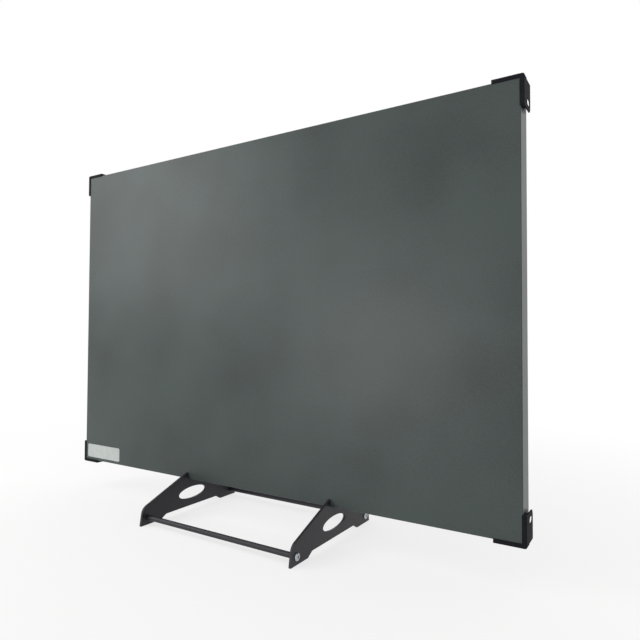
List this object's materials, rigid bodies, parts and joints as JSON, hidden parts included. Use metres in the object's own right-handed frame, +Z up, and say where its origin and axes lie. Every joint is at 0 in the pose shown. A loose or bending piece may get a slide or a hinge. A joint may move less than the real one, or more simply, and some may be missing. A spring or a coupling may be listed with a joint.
{
  "type": "infrared panel heater",
  "caption": "Free-standing infrared panel heater: a flat steel heating panel with corner hanging brackets, resting in the slots of a low stand of sheet-steel legs and cross rods.",
  "frame": {"origin": "on the floor, under the middle of the whole heater: the middle of the panel's width and of the legs' depth", "axes": "+X to the right seen from the front, +Y from the front to the back, +Z up"},
  "size_m": [0.9096, 0.24, 0.6688],
  "materials": {
    "black_powder_coat": "satin powder coat on sheet steel",
    "grey_powder_coat": "fine-textured satin powder coat",
    "galvanised_steel": "plain galvanised sheet",
    "black_nylon": "moulded glass-filled nylon, matt",
    "zinc_plated_steel": "bright zinc plating",
    "printed_film": "matt laminated film",
    "polyester_film": "clear amber film",
    "carbon_film": "printed carbon on film",
    "copper": "bare copper strip",
    "aluminium": "bright foil and drawn cup",
    "mineral_wool": "pressed wool board",
    "brown_silicone": "silicone insulation",
    "blue_silicone": "silicone insulation",
    "green_silicone": "silicone insulation with a yellow stripe",
    "white_nylon": "moulded nylon",
    "black_box_plastic": "moulded plastic with a fine texture",
    "black_rubber": "moulded rubber",
    "brass": "turned brass"
  },
  "bodies": {
    "stand": {"left_leg": "black_powder_coat", "right_leg": "black_powder_coat", "front_cross_rod": "black_powder_coat", "rear_cross_rod": "black_powder_coat", "front_rod_screw_left": "zinc_plated_steel", "front_rod_screw_right": "zinc_plated_steel", "rear_rod_screw_left": "zinc_plated_steel", "rear_rod_screw_right": "zinc_plated_steel"},
    "panel": {"front_tray": "grey_powder_coat", "rear_cover": "galvanised_steel", "cover_screw_1": "zinc_plated_steel", "cover_screw_2": "zinc_plated_steel", "cover_screw_3": "zinc_plated_steel", "cover_screw_4": "zinc_plated_steel", "cover_screw_5": "zinc_plated_steel", "cover_screw_6": "zinc_plated_steel", "cover_screw_7": "zinc_plated_steel", "cover_screw_8": "zinc_plated_steel", "corner_bracket_top_right": "black_nylon", "corner_bracket_bottom_right": "black_nylon", "corner_bracket_bottom_left": "black_nylon", "corner_bracket_top_left": "black_nylon", "bracket_screw_top_right": "zinc_plated_steel", "bracket_screw_bottom_right": "zinc_plated_steel", "bracket_screw_bottom_left": "zinc_plated_steel", "bracket_screw_top_left": "zinc_plated_steel", "front_label": "printed_film", "front_insulating_film": "polyester_film", "heating_film": "carbon_film", "busbar_left": "copper", "busbar_right": "copper", "rear_insulating_film": "polyester_film", "reflector_foil": "aluminium", "insulation_board": "mineral_wool", "stiffening_channel_left": "galvanised_steel", "stiffening_channel_right": "galvanised_steel", "thermal_cutout": "aluminium", "live_lead": "brown_silicone", "cutout_lead": "brown_silicone", "neutral_lead": "blue_silicone", "earth_lead": "green_silicone", "earth_stud": "galvanised_steel", "earth_nut": "galvanised_steel", "terminal_block": "white_nylon", "terminal_screw_live": "brass", "terminal_screw_earth": "brass", "terminal_screw_neutral": "brass", "junction_box_base": "black_box_plastic", "junction_box_gasket": "black_rubber", "junction_box_lid": "black_box_plastic", "cable_inlet": "black_rubber", "cable_clamp": "black_box_plastic", "lid_screw_left": "zinc_plated_steel", "lid_screw_right": "zinc_plated_steel", "box_fixing_screw_left": "zinc_plated_steel", "box_fixing_screw_right": "zinc_plated_steel", "clamp_screw_left": "zinc_plated_steel", "clamp_screw_right": "zinc_plated_steel"}
  },
  "joints": [
    {"name": "panel_lift", "type": "slide", "parent": "stand", "child": "panel", "axis": [0, 0, 1], "range_m": [0, 0.08]}
  ]
}
